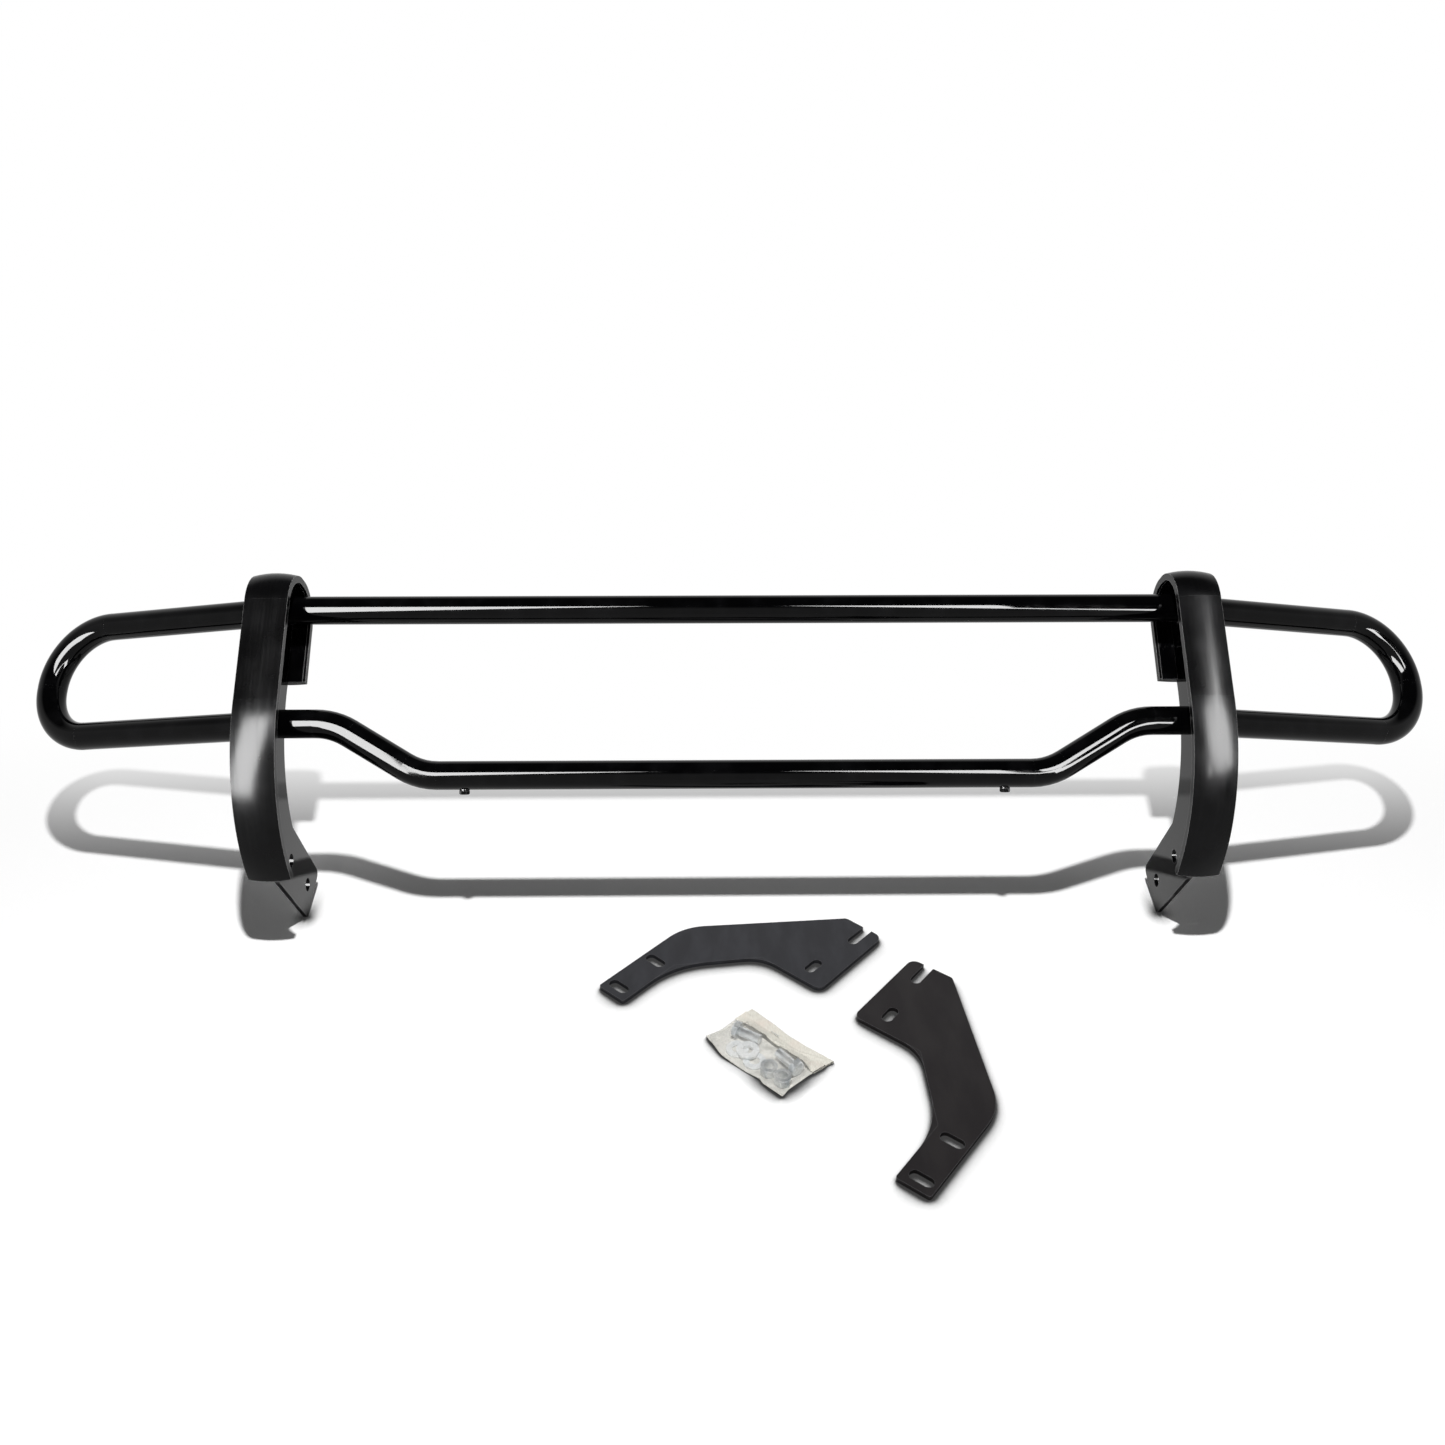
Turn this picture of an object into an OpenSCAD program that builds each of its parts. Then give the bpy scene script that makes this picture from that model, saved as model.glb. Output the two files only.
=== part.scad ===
// Front grille guard for a light truck: two hooked uprights, two crossbars, a brush loop at each end,
// and the two loose mounting brackets and the bag of fasteners that come with it.
// Left and right are as seen from in front. The guard has its own frame, in which X runs across the truck,
// Y runs back from the foremost point of the uprights and Z runs up from a little above the lower crossbar.
// That frame is then leaned back and stood on the tips of the two mounting tabs.

/* [Layout] */
// Lean of the guard on its two tips, in degrees back from upright
lean = 30; // [0:1:32]
// Distance of the two tips behind the middle of the whole layout
tips_back = 124.2; // [100:0.1:200]

/* [Uprights] */
// Distance from the centre of the guard to the centre of an upright
upright_x = 511; // [380:1:560]
// Thickness of the upright's plate
plate_t = 5; // [4:0.5:8]
// Radius of the bulge of the uprights, over the strip
bulge_r = 200; // [160:5:260]
// Height of the foremost point of the bulge
bulge_z = -38; // [-60:1:0]
// Length of the straight stretch between the bulge and the hook's centre
front_leg = 112.5; // [90:0.5:140]
// Backward slant of the straight stretch, in degrees
leg_tilt = 18; // [10:1:24]
// Width of the hook over the strip, front to rear
hook_w = 99; // [96:1:110]
// Outer radius of the hook's two bends
hook_r = 46; // [30:1:47]
// Length of the rear leg below the hook's centre
rear_leg = 62; // [50:0.5:80]
// Angle below level at which the strip ends at the bottom, measured from straight down
tail_sweep = 43; // [35:0.5:50]

/* [Strip and flange] */
// Width of the moulded strip
strip_w = 47; // [40:1:60]
// Thickness of the strip over the flange bar
strip_t = 6; // [4:0.5:8]
// Radius of the strip's crown
crown_r = 95; // [70:5:200]
// Width of the flange bar under the strip
flange_w = 40; // [30:1:50]
// Thickness of the flange bar
flange_t = 4.5; // [3:0.5:6]

/* [Mounting tab] */
// Radius of the arc that shapes the plate's rear edge
rear_edge_r = 178; // [150:1:220]
// Radius of each hole in the tab
tab_hole_r = 8; // [5:0.5:9]
// Distance between the two holes in a tab
tab_hole_gap = 70; // [60:1:80]
// Slant of the line through the two holes, in degrees below level
tab_slant = 30; // [20:1:35]

/* [Tubes] */
// Outer diameter of every tube
tube_od = 31.75; // [25.4:0.05:38.1]
// Wall thickness of every tube
tube_wall = 2; // [1.5:0.25:3]
// Radius of the four bends in the lower crossbar, at the tube's centre
bar_bend_r = 70; // [50:1:90]
// Drop of the lower crossbar's middle
bar_drop = 57; // [30:1:70]
// Half length of the dropped middle, between corners
drop_x = 345; // [300:1:380]
// Sideways length of the slope from the middle up to the ends
slope_x = 93; // [60:1:110]
// Depth of the upper crossbar behind the bulge
upper_bar_y = 95; // [80:1:100]
// Height of the upper crossbar
upper_bar_z = 124.5; // [110:0.5:135]
// Depth of the lower crossbar behind the bulge
lower_bar_y = 50; // [35:1:60]
// Height of the lower crossbar's ends
lower_bar_z = -3; // [-10:0.5:10]

/* [Brush loops] */
// Distance from the centre of the guard to the end of a brush loop, at the tube's centre
loop_x = 800; // [700:1:860]
// How far the loop runs back for each millimetre outwards
loop_sweep = 0.32; // [0:0.01:0.4]
// How far the loop drops for each millimetre outwards
loop_fall = 0.05; // [0:0.001:0.08]
// How much lower the loop's legs meet the plate than the crossbars do
loop_lower = 1.5; // [0:0.5:5]
// Bend radius at the top of the loop's end, at the tube's centre
loop_top_r = 70; // [55:1:73]
// Bend radius at the bottom of the loop's end, at the tube's centre
loop_low_r = 61; // [45:1:61]
// Radius of the weld beads round the tube ends
weld_r = 4.5; // [2:0.5:6]

/* [Lamp screws] */
// Distance from the centre of the guard to each lamp screw
lamp_x = 296; // [250:1:320]
// Width of the screw's head across its flats
lamp_head = 10; // [8:1:13]

/* [Mounting brackets] */
// Thickness of a bracket
bracket_t = 5; // [4:0.5:8]
// Width of the narrow arm
arm_w = 38; // [36:1:50]
// Radius of the curve that the inner edge widens in, from the narrow arm
inner_r = 104; // [80:1:106]
// Radius of the outer knee
knee_r = 63; // [30:1:80]
// Width of the slots and the notch
slot_w = 12; // [10:0.5:14]
// Length of a slot in the narrow arm
arm_slot = 26; // [20:1:30]
// Distance between the two slots in the narrow arm
arm_slot_gap = 58; // [50:1:65]
// Length of the slot in the wide end
wide_slot = 24; // [18:1:30]
// Depth of the open notch
notch_depth = 34; // [20:1:40]

/* [Fastener bag] */
// Length of the bag
bag_l = 118; // [110:1:130]
// Width of the bag, with its paper header
bag_w = 72; // [60:1:80]
// Width of the paper header
header_w = 25; // [18:1:30]
// Height of the filled part
bag_h = 18.5; // [18.5:0.5:30]

/* [Hidden] */
$fn = 72;

gloss_black = [0.05, 0.05, 0.055];
strip_black = [0.12, 0.12, 0.12];
weld_black = [0.09, 0.09, 0.1];
bracket_grey = [0.22, 0.22, 0.23];
zinc = [0.78, 0.8, 0.82];
paper_cream = [0.93, 0.9, 0.83];
film_clear = [0.85, 0.88, 0.88, 0.6];

// Directions in the upright's own plane, where the first value runs back and the second runs up.
function aim(a) = [cos(a), sin(a)];
leg_up = aim(90 - leg_tilt);
leg_back = aim(-leg_tilt);

// The upright's outline over the strip: the bulge's centre, its two ends, and the hook.
bulge_c = [bulge_r, bulge_z];
bulge_top = bulge_c - bulge_r * leg_back;
hook_c = bulge_top + front_leg * leg_up + hook_w / 2 * leg_back;
function leg_point(back, up) = hook_c + back * leg_back + up * leg_up;
tail_dir = aim(tail_sweep - 90);
bulge_low = bulge_c + bulge_r * aim(180 + tail_sweep);
band_t = strip_t + flange_t;

// The strip's path: up the rear leg, over the hook, down the front and round the bulge.
band_path = [
    leg_point(hook_w / 2, -rear_leg),
    leg_point(hook_w / 2, hook_w / 2),
    leg_point(-hook_w / 2, hook_w / 2),
    bulge_top - bulge_r * tan((leg_tilt + tail_sweep) / 2) * leg_up,
    bulge_low + 2 * tail_dir
];
band_bends = [0, hook_r, hook_r, bulge_r, 0];

// The plate's rear edge below the rear leg, and the mounting tab.
rear_edge_c = [278, -25];
tab_tip = [183.5, -229.5];
tab_tip_r = 4;
tab_corner = [214.5, -186.5];
tab_corner_r = 8;
tab_root = [[66, -172], [139.5, -137.5], [110, -110]];
tab_mid = [153.5, -177.5];
tab_holes = [for (s = [-1, 1]) tab_mid + s * tab_hole_gap / 2 * aim(-tab_slant)];

shoulder_r = 2.5;

// How far a straight stretch reaches into a bend, and how much its profile is smaller all round.
seam_lap = 0.5;
seam_slack = 0.05;

tube_r = tube_od / 2;
plate_face = upright_x + plate_t / 2;
inner_face = upright_x - plate_t / 2;

// The lower crossbar's corners, from its left end to its right end.
bar_half = [[inner_face, 0], [drop_x + slope_x, 0], [drop_x, -bar_drop]];
bar_path = concat([for (p = bar_half) [-p.x, p.y]], [for (i = [2:-1:0]) bar_half[i]]);
bar_bends = [0, bar_bend_r, bar_bend_r, bar_bend_r, bar_bend_r, 0];

// The brush loop's plane: its legs run along loop_u and stand loop_v apart.
loop_top = [upright_x, upper_bar_y, upper_bar_z - loop_lower];
loop_low = [upright_x, lower_bar_y, lower_bar_z - loop_lower];
loop_raw = [1, loop_sweep, -loop_fall];
loop_u = loop_raw / norm(loop_raw);
loop_rise = loop_top - loop_low;
loop_flat = loop_rise - (loop_rise * loop_u) * loop_u;
loop_v = loop_flat / norm(loop_flat);
loop_n = cross(loop_u, loop_v);
loop_end = (loop_x - upright_x) / loop_u.x;
loop_path = [
    [loop_rise * loop_u - tube_od, norm(loop_flat)],
    [loop_rise * loop_u + loop_end, norm(loop_flat)],
    [loop_end, 0],
    [-tube_od, 0]
];
loop_bends = [0, loop_top_r, loop_low_r, 0];

// Lamp screw sizes.
insert_r = 4.5;
insert_flange_r = 5.5;
insert_l = 13;
insert_lip = 1;
screw_r = 3;
screw_head_h = 4;
screw_l = 11;

// A bracket's outline in its own frame: origin at the end slot, the narrow arm running up.
arm_left = -17.5;
arm_end = -14;
bracket_top = 264.5;
bracket_right = 169;
arm_bend_y = 66.3;
bracket_outline = [
    [arm_left, arm_end],
    [arm_left + arm_w, arm_end],
    [arm_left + arm_w, arm_bend_y],
    [85.3, 143.5],
    [bracket_right, 145],
    [bracket_right - 2, bracket_top],
    [115, bracket_top],
    [arm_left, 123]
];
bracket_corners = [3, 3, -inner_r, -47, 9, 10, 7, knee_r];
wide_slot_at = [139, 171];
notch_x = 145.5;

// Where the loose pieces lie, measured from the middle of the two tips.
left_bracket_at = [-129.5, -133.2];
left_bracket_turn = -42.5;
right_bracket_at = [168.4, -401];
right_bracket_turn = -38.4;
bag_at = [30.3, -230.9];
bag_turn = -45.3;

// Fastener sizes, for a 10 mm thread.
bolt_r = 5;
bolt_l = 25;
bolt_head_w = 16;
bolt_head_h = 6.4;
nut_h = 8.4;
flat_r = 12;
flat_bore_r = 5.5;
flat_t = 2;
lock_r = 9;
lock_bore_r = 5.2;
lock_t = 2.5;
film_t = 0.5;
paper_t = 0.4;
header_gap = 1.6;
hem = 1.9;
pocket_l = bag_l - 8;
pocket_w = bag_w - header_w - 2 * hem;
pocket_v = -header_w / 2;
bolt_lift = film_t + bolt_head_w / 2 + 0.1;
// Each bolt: where its head's outer face is, and the angle that its shank points at.
bolt_spots = [[-42, -5, 13], [46, -1.6, 174]];
nut_spots = [[22.5, -20.5], [41.5, -20.5]];
// Each flat washer: where it lies, and how many washers are under it.
flat_spots = [[-23.5, -19.5, 0], [1, -19.2, 0], [-12.6, -15, 1], [-12.2, -15.6, 2]];
stack_gap = 0.05;
staple_l = 12;
staple_u = -9;
staple_wire = 0.5;

// A polygon whose corners have true round arcs. An outside corner, with a radius above 0, is cut. An inside
// corner, with a radius below 0, is filled.
module rounded_polygon(points, radii) {
    n = len(points);
    difference() {
        polygon(points);
        for (i = [0:n - 1])
            if (radii[i] > 0)
                corner_piece(points[(i + n - 1) % n], points[i], points[(i + 1) % n], radii[i], radii[i]);
    }
    for (i = [0:n - 1])
        if (radii[i] < 0)
            corner_piece(points[(i + n - 1) % n], points[i], points[(i + 1) % n], -radii[i], 1);
}

// What lies between the corner at b, from a to c, and an arc of radius r in it. It reaches past the corner by
// the last value.
module corner_piece(a, b, c, r, past) {
    to_a = (a - b) / norm(a - b);
    to_c = (c - b) / norm(c - b);
    inward = (to_a + to_c) / norm(to_a + to_c);
    half = acos(to_a * inward);
    difference() {
        polygon([b + r / tan(half) * to_a, b - past * inward, b + r / tan(half) * to_c]);
        translate(b + r / sin(half) * inward) circle(r);
    }
}

// Sweeps a flat profile along straight stretches and round bends. The profile's first axis points to the
// left of the way it travels, and its second axis stands out of the path's plane. The first child is the
// profile of the bends. The second is the profile of the stretches, a hair smaller, and they reach a little
// way into the bends, so that it all joins as one solid.
module along(points, bends) {
    last = len(points) - 1;
    heading = [for (i = [0:last - 1]) let (v = points[i + 1] - points[i]) atan2(v.y, v.x)];
    turn = [for (i = [0:last]) i == 0 || i == last ? 0 : wrapped(heading[i] - heading[i - 1])];
    trim = [for (i = [0:last]) bends[i] * tan(abs(turn[i]) / 2)];
    reach = [for (i = [0:last]) i == 0 || i == last ? 0 : trim[i] - seam_lap];
    for (i = [0:last - 1])
        translate(points[i] + reach[i] * aim(heading[i]))
            rotate(heading[i])
                rotate([90, 0, 90])
                    linear_extrude(norm(points[i + 1] - points[i]) - reach[i] - reach[i + 1])
                        children(1);
    for (i = [1:last - 1])
        translate(points[i] - trim[i] * aim(heading[i - 1]))
            if (turn[i] > 0)
                translate(bends[i] * aim(heading[i - 1] + 90))
                    rotate(heading[i - 1] - 90)
                        rotate_extrude(angle = turn[i]) translate([bends[i], 0]) mirror([1, 0]) children(0);
            else
                translate(bends[i] * aim(heading[i - 1] - 90))
                    rotate(heading[i - 1] + 90 + turn[i])
                        rotate_extrude(angle = -turn[i]) translate([bends[i], 0]) children(0);
}

function wrapped(a) = (a + 540) % 360 - 180;

// Carries the guard's own frame to where it stands, leaning on the tips of its tabs.
module stood_up() {
    translate([0, tips_back, tab_tip_r])
        rotate([-lean, 0, 0])
            translate([0, -tab_tip.x, -tab_tip.y])
                children();
}

// Turns a shape drawn in the upright's plane so that it stands across the guard at the upright.
module in_upright() {
    translate([upright_x, 0, 0]) rotate([90, 0, 90]) children();
}

module on_left() {
    mirror([1, 0, 0]) children();
}

module tube_ring(slack = 0) {
    difference() {
        circle(tube_r - slack);
        circle(tube_r - tube_wall + slack);
    }
}

module tube_along(points, bends) {
    along(points, bends) {
        tube_ring();
        tube_ring(seam_slack);
    }
}

// The plate fills the hook, follows the bulge and ends in the swept-back tab with its two holes.
module plate_outline() {
    in_r = hook_r - band_t;
    half_w = hook_w / 2 - band_t;
    translate(hook_c) rotate(-leg_tilt)
        rounded_polygon(
            [[-half_w, -front_leg], [half_w, -front_leg], [half_w, half_w], [-half_w, half_w]],
            [0, 0, in_r, in_r]);
    difference() {
        intersection() {
            translate(bulge_c) circle(bulge_r - band_t, $fn = 180);
            polygon([
                leg_point(hook_w / 2, -rear_leg), leg_point(-hook_w, -rear_leg), [-30, -120],
                bulge_c + 1.2 * bulge_r * aim(180 + tail_sweep), tab_root[1], [200, -60]
            ]);
        }
        translate(rear_edge_c) circle(rear_edge_r, $fn = 180);
    }
    hull() {
        translate(tab_tip) circle(tab_tip_r);
        translate(tab_corner) circle(tab_corner_r);
        polygon(tab_root);
    }
}

module upright_plate() {
    color(gloss_black) stood_up() in_upright() translate([0, 0, -plate_t / 2])
        difference() {
            linear_extrude(plate_t) plate_outline();
            for (p = tab_holes)
                translate([p.x, p.y, -1]) cylinder(h = plate_t + 2, r = tab_hole_r);
        }
}

module flange_profile(slack = 0) {
    translate([strip_t + slack, slack - flange_w / 2]) square([flange_t - 2 * slack, flange_w - 2 * slack]);
}

module flange_bar() {
    color(gloss_black) stood_up() in_upright()
        along(band_path, band_bends) {
            flange_profile();
            flange_profile(seam_slack);
        }
}

// The moulded strip's profile: a crowned face, round shoulders and two lips that grip the flange bar.
module strip_profile(slack = 0) {
    half = strip_w / 2 - slack;
    difference() {
        intersection() {
            rounded_polygon(
                [[slack, -half], [band_t - slack, -half], [band_t - slack, half], [slack, half]],
                [shoulder_r, 0, 0, shoulder_r]);
            translate([crown_r + slack, 0]) circle(crown_r, $fn = 240);
        }
        translate([strip_t - slack, -flange_w / 2 - slack]) square([band_t, flange_w + 2 * slack]);
    }
}

module cover_strip() {
    color(strip_black) stood_up() in_upright()
        along(band_path, band_bends) {
            strip_profile();
            strip_profile(seam_slack);
        }
}

module upper_crossbar() {
    color(gloss_black) stood_up()
        translate([-inner_face, upper_bar_y, upper_bar_z]) rotate([90, 0, 90])
            linear_extrude(2 * inner_face) tube_ring();
}

module lower_crossbar() {
    color(gloss_black) stood_up()
        difference() {
            translate([0, lower_bar_y, lower_bar_z]) rotate([90, 0, 0])
                tube_along(bar_path, bar_bends);
            for (s = [-1, 1])
                at_lamp_screw(s) cylinder(h = tube_r, r = insert_r);
        }
}

// The brush loop, cut off flat where its two legs meet the outer face of the plate.
module brush_loop() {
    color(gloss_black) stood_up()
        difference() {
            multmatrix([
                [loop_u.x, loop_v.x, loop_n.x, loop_low.x],
                [loop_u.y, loop_v.y, loop_n.y, loop_low.y],
                [loop_u.z, loop_v.z, loop_n.z, loop_low.z]
            ])
                tube_along(loop_path, loop_bends);
            translate([plate_face - 100, -200, -200]) cube([100, 500, 500]);
        }
}

// A fillet bead where a tube that runs along a direction meets a face of the plate.
module weld_bead(face_x, at, run) {
    tilt = atan2(run.y, run.x);
    dip = -asin(run.z / norm(run));
    root = at + run * ((face_x - at.x) / run.x);
    difference() {
        translate(root) rotate([0, 90, 0])
            rotate_extrude() translate([tube_r + 0.5, 0]) circle(weld_r, $fn = 32);
        translate(root - 20 * run) rotate([0, 0, tilt]) rotate([0, 90 + dip, 0])
            cylinder(h = 60, r = tube_r);
        translate([face_x - (run.x > 0 ? 20 : 0), root.y - 40, root.z - 40]) cube([20, 80, 80]);
    }
}

module bar_welds() {
    color(weld_black) stood_up() {
        weld_bead(inner_face, [0, upper_bar_y, upper_bar_z], [-1, 0, 0]);
        weld_bead(inner_face, [inner_face, lower_bar_y, lower_bar_z], [-1, 0, 0]);
    }
}

module loop_welds() {
    color(weld_black) stood_up() {
        weld_bead(plate_face, loop_top, loop_u);
        weld_bead(plate_face, loop_low, loop_u);
    }
}

// Stands a shape under the dropped middle of the lower crossbar, with its top end up in the tube.
module at_lamp_screw(side) {
    translate([side * lamp_x, lower_bar_y, lower_bar_z - bar_drop - tube_r - insert_lip]) children();
}

// A threaded insert: a thin flange saddled on the tube and a sleeve that reaches inside it.
module threaded_insert() {
    color(zinc) stood_up()
        difference() {
            at_lamp_screw(1) cylinder(h = insert_l, r = insert_r);
            at_lamp_screw(1) cylinder(h = insert_l + 1, r = screw_r);
        }
    color(zinc) stood_up()
        difference() {
            at_lamp_screw(1) cylinder(h = 2.2, r = insert_flange_r);
            at_lamp_screw(1) cylinder(h = 3, r = insert_r);
            translate([lamp_x - 20, lower_bar_y, lower_bar_z - bar_drop])
                rotate([0, 90, 0]) cylinder(h = 40, r = tube_r);
        }
}

module lamp_screw() {
    color(gloss_black) stood_up()
        at_lamp_screw(1) {
            translate([0, 0, -screw_head_h]) hex_head(lamp_head, screw_head_h);
            cylinder(h = screw_l, r = screw_r);
        }
}

// A hexagon with its lower corners turned down to a cone.
module hex_head(across, h) {
    intersection() {
        cylinder(h = h, r = across / 2 / cos(30), $fn = 6);
        cylinder(h = h, r1 = across / 2 * 0.95, r2 = across / 2 * 0.95 + h);
    }
}

module slot(length) {
    reach = (length - slot_w) / 2;
    for (s = [-1, 1])
        translate([s * reach, 0]) circle(slot_w / 2);
    square([2 * reach, slot_w], center = true);
}

// One flat bracket: a narrow arm with two cross slots, a knee, and a wide end with a slot and a notch.
module bracket() {
    color(bracket_grey) linear_extrude(bracket_t)
        difference() {
            rounded_polygon(bracket_outline, bracket_corners);
            slot(arm_slot);
            translate([0, arm_slot_gap]) slot(arm_slot);
            translate(wide_slot_at) rotate(90) slot(wide_slot);
            translate([notch_x, bracket_top - notch_depth + slot_w / 2]) {
                circle(slot_w / 2);
                translate([-slot_w / 2, 0]) square([slot_w, notch_depth]);
            }
        }
}

module laid_down(at, turn) {
    translate([at.x, at.y + tips_back, 0]) rotate(turn) children();
}

module left_mounting_bracket() {
    laid_down(left_bracket_at, left_bracket_turn) bracket();
}

module right_mounting_bracket() {
    laid_down(right_bracket_at, right_bracket_turn) mirror([1, 0, 0]) bracket();
}

module bag_lower_film() {
    color(film_clear) laid_down(bag_at, bag_turn)
        translate([-bag_l / 2, -bag_w / 2, 0]) cube([bag_l, bag_w - header_w - 0.2, film_t]);
}

// A raised pocket over the fasteners, grown by a film's thickness for its outside.
module pocket(grow) {
    hull()
        for (level = [[film_t, 0], [bag_h - film_t + grow - 0.1, 2]])
            translate([0, pocket_v, level[0]])
                linear_extrude(0.1)
                    square([pocket_l - level[1] + 2 * grow, pocket_w - level[1] + 2 * grow], center = true);
}

// The upper film has a hem all round. On the open side it runs on between the header's two leaves.
module bag_upper_film() {
    color(film_clear) laid_down(bag_at, bag_turn)
        difference() {
            union() {
                translate([-bag_l / 2, -bag_w / 2, film_t]) cube([bag_l, bag_w - header_w / 3, film_t]);
                pocket(film_t);
            }
            pocket(0);
        }
}

// The paper header is folded over the open edge of the bag, so it has a leaf above and a leaf below.
module paper_header() {
    leaf = [bag_l, header_w, paper_t];
    color(paper_cream) laid_down(bag_at, bag_turn)
        translate([-bag_l / 2, bag_w / 2 - header_w, 0])
            difference() {
                cube([bag_l, header_w, header_gap + 2 * paper_t]);
                translate([-1, -1, paper_t]) cube([bag_l + 2, header_w - paper_t + 1, header_gap]);
            }
}

module header_staple() {
    top = header_gap + 2 * paper_t;
    color(zinc) laid_down(bag_at, bag_turn)
        translate([staple_u - staple_l / 2, (bag_w - header_w) / 2, top])
            cube([staple_l, staple_wire, staple_wire]);
}

module in_bag(u, v, z) {
    laid_down(bag_at, bag_turn) translate([u, v, z]) children();
}

module hex_bolts() {
    color(zinc)
        for (b = bolt_spots)
            in_bag(b[0], b[1], bolt_lift) rotate([0, 90, b[2]]) rotate([0, 0, 30]) {
                hex_head(bolt_head_w, bolt_head_h);
                translate([0, 0, bolt_head_h]) cylinder(h = bolt_l, r = bolt_r);
            }
}

module nut() {
    difference() {
        hex_head(bolt_head_w, nut_h);
        translate([0, 0, -1]) cylinder(h = nut_h + 2, r = bolt_r);
    }
}

module washer(r, bore_r, t) {
    difference() {
        cylinder(h = t, r = r);
        translate([0, 0, -1]) cylinder(h = t + 2, r = bore_r);
    }
}

module hex_nuts() {
    color(zinc)
        for (p = nut_spots)
            in_bag(p.x, p.y, film_t + stack_gap) nut();
}

module lock_washers() {
    color(zinc)
        for (p = nut_spots)
            in_bag(p.x, p.y, film_t + nut_h + 2 * stack_gap) washer(lock_r, lock_bore_r, lock_t);
}

module flat_washers() {
    color(zinc)
        for (p = flat_spots)
            in_bag(p.x, p.y, film_t + stack_gap + p.z * (flat_t + stack_gap))
                washer(flat_r, flat_bore_r, flat_t);
}

on_left() upright_plate();  // left_upright_plate
upright_plate();  // right_upright_plate
on_left() flange_bar();  // left_flange_bar
flange_bar();  // right_flange_bar
on_left() cover_strip();  // left_cover_strip
cover_strip();  // right_cover_strip
upper_crossbar();
lower_crossbar();
on_left() brush_loop();  // left_brush_loop
brush_loop();  // right_brush_loop
on_left() bar_welds();  // left_bar_welds
bar_welds();  // right_bar_welds
on_left() loop_welds();  // left_loop_welds
loop_welds();  // right_loop_welds
on_left() threaded_insert();  // left_threaded_insert
threaded_insert();  // right_threaded_insert
on_left() lamp_screw();  // left_lamp_screw
lamp_screw();  // right_lamp_screw
left_mounting_bracket();
right_mounting_bracket();
bag_lower_film();
bag_upper_film();
paper_header();
header_staple();
hex_bolts();
hex_nuts();
lock_washers();
flat_washers();
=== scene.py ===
"""Dresses the front grille guard, its two loose brackets and its bag of fasteners in a studio.

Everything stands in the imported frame, in metres: X runs across the guard, Y runs back and Z up.
"""

import logging
import math
from abc import ABC, abstractmethod
from collections.abc import Callable
from dataclasses import dataclass, field
from enum import Enum
from functools import partial

import bpy
import numpy as np
from mathutils import Matrix, Vector, noise


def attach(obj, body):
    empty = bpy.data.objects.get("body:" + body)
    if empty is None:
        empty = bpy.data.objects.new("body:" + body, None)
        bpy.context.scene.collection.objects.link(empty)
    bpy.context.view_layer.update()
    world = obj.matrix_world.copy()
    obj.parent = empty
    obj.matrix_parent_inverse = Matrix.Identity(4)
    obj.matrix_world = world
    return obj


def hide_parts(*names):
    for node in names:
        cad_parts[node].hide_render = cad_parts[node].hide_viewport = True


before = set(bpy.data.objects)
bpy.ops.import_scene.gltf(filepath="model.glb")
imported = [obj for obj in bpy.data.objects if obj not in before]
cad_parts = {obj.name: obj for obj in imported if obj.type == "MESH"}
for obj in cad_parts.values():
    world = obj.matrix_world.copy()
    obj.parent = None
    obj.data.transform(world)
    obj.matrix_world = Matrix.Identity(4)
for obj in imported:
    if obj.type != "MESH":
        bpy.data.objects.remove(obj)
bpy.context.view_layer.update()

LOG = logging.getLogger("grille_guard")
MM = 0.001

Pair = tuple[float, float]
Triple = tuple[float, float, float]
Colour = tuple[float, float, float]
WavyEdge = tuple[Pair, ...]
Socket = bpy.types.NodeSocket

WHITE = (1.0, 1.0, 1.0, 1.0)

# The sockets of a Mix node that blends colours
FIRST_COLOUR = 6
SECOND_COLOUR = 7
MIXED_COLOUR = 2


class Side(Enum):
    """The two ends of the guard, as seen from in front."""

    LEFT = "left"
    RIGHT = "right"

    @property
    def sign(self) -> int:
        """Which way along X this side lies."""
        return -1 if self is Side.LEFT else 1


# Finishes


def add_node(
    tree: bpy.types.NodeTree, kind: str, inputs: dict | None = None, **settings: object
) -> bpy.types.Node:
    """Adds a node to the tree of a material, a lamp or the world.

    Args:
        tree: where the node goes.
        kind: the node's type, without its ShaderNode prefix.
        inputs: what goes into its sockets, as values or as other nodes' sockets.
        **settings: attributes of the node.

    Returns:
        The new node.
    """
    made = tree.nodes.new("ShaderNode" + kind)
    for name, value in settings.items():
        setattr(made, name, value)
    for name, value in (inputs or {}).items():
        if isinstance(value, Socket):
            tree.links.new(value, made.inputs[name])
        else:
            made.inputs[name].default_value = value
    return made


def background_rays(add: Callable[..., bpy.types.Node]) -> Socket:
    """Marks the rays that show the background: the camera's, those off gloss and those let through.

    Args:
        add: adds a node to the tree in hand, as NodeGraph.node does.

    Returns:
        1 for such a ray, and 0 for any other.
    """
    path = add("LightPath").outputs
    near = add("Math", {0: path["Is Camera Ray"], 1: path["Is Glossy Ray"]}, operation="ADD")
    sums = {0: near.outputs["Value"], 1: path["Is Transmission Ray"]}
    return add("Math", sums, operation="ADD", use_clamp=True).outputs["Value"]


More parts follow.
